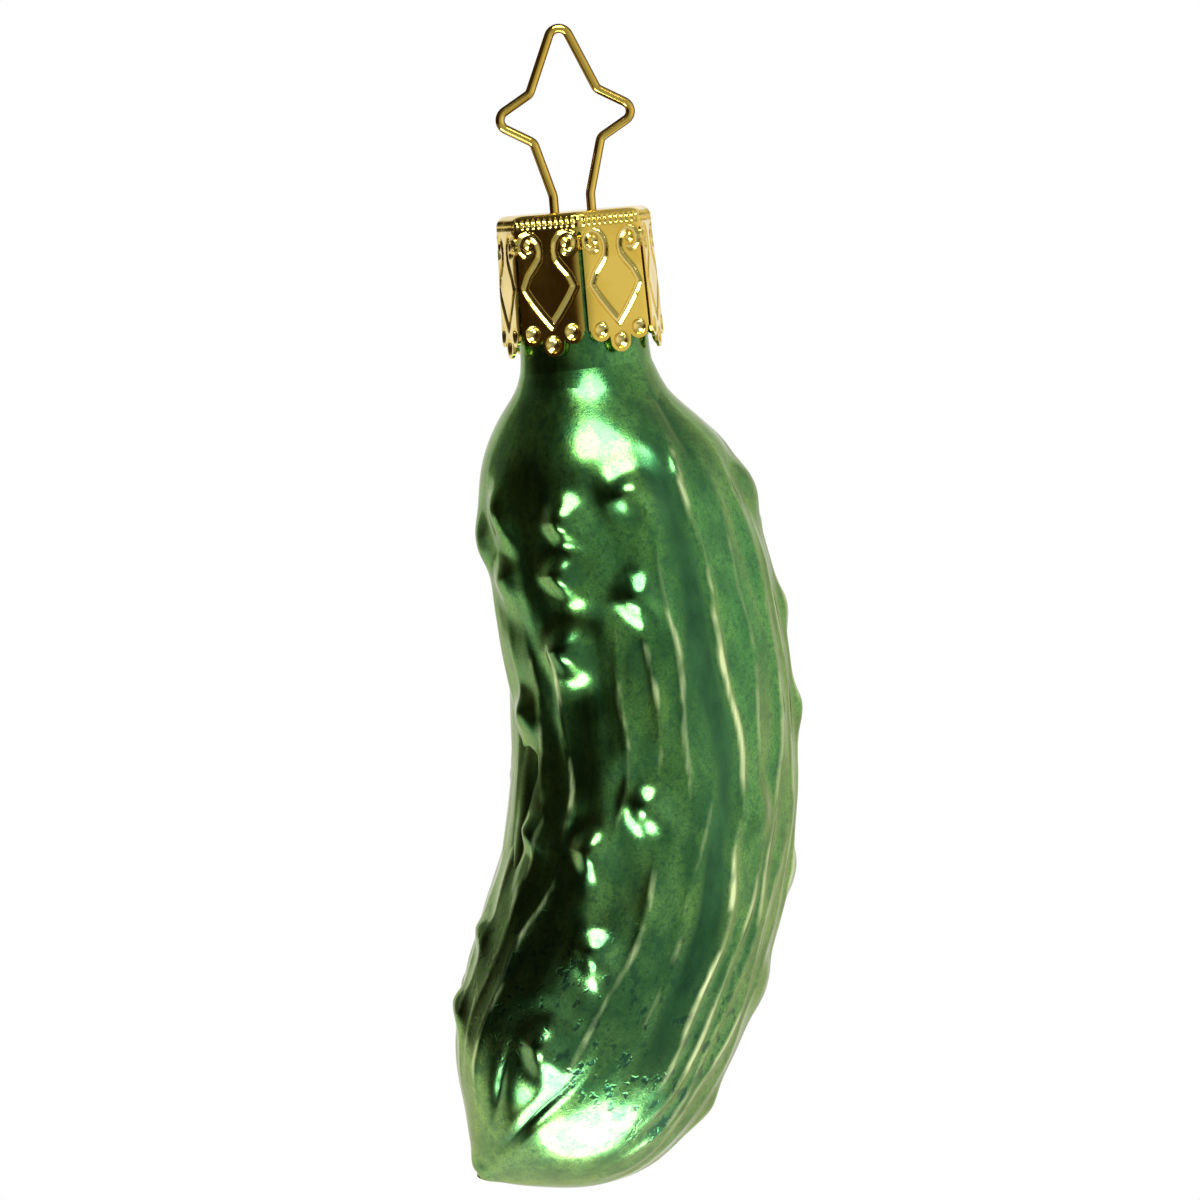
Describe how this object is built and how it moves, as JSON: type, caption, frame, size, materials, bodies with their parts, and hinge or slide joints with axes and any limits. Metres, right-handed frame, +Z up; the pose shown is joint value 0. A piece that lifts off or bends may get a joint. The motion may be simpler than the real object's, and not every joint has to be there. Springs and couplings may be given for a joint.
{
  "type": "pickle ornament",
  "caption": "Hanging pickle ornament of silvered, green-lacquered blown glass, with a petalled gold cap that is held on the neck by a sprung wire hanger",
  "frame": {"origin": "the hanging point, under the wire at the top of the hanger's loop", "axes": "+Z up along the neck's axis, X across the hanger's flat loop with the pickle's tip bending towards -X, and -Y the front"},
  "size_m": [0.0324, 0.0258, 0.0998],
  "materials": {
    "lacquered_glass": "silvered inside, opaque, with glossy translucent green lacquer outside",
    "gold_sheet": "thin stamped sheet, bright gold finish",
    "gold_wire": "bright gold-finished spring wire"
  },
  "bodies": {
    "hanger": {"hanger_wire": "gold_wire"},
    "cap": {"cap": "gold_sheet"},
    "glass": {"glass_body": "lacquered_glass"}
  },
  "joints": [
    {"name": "hanger_pull", "type": "slide", "parent": "hanger", "child": "cap", "axis": [0, 0, -1], "range_m": [0, 0.008]},
    {"name": "cap_turn", "type": "hinge", "parent": "cap", "child": "glass", "pos_m": [0, 0, -0.0156], "axis": [0, 0, 1], "continuous": true}
  ]
}
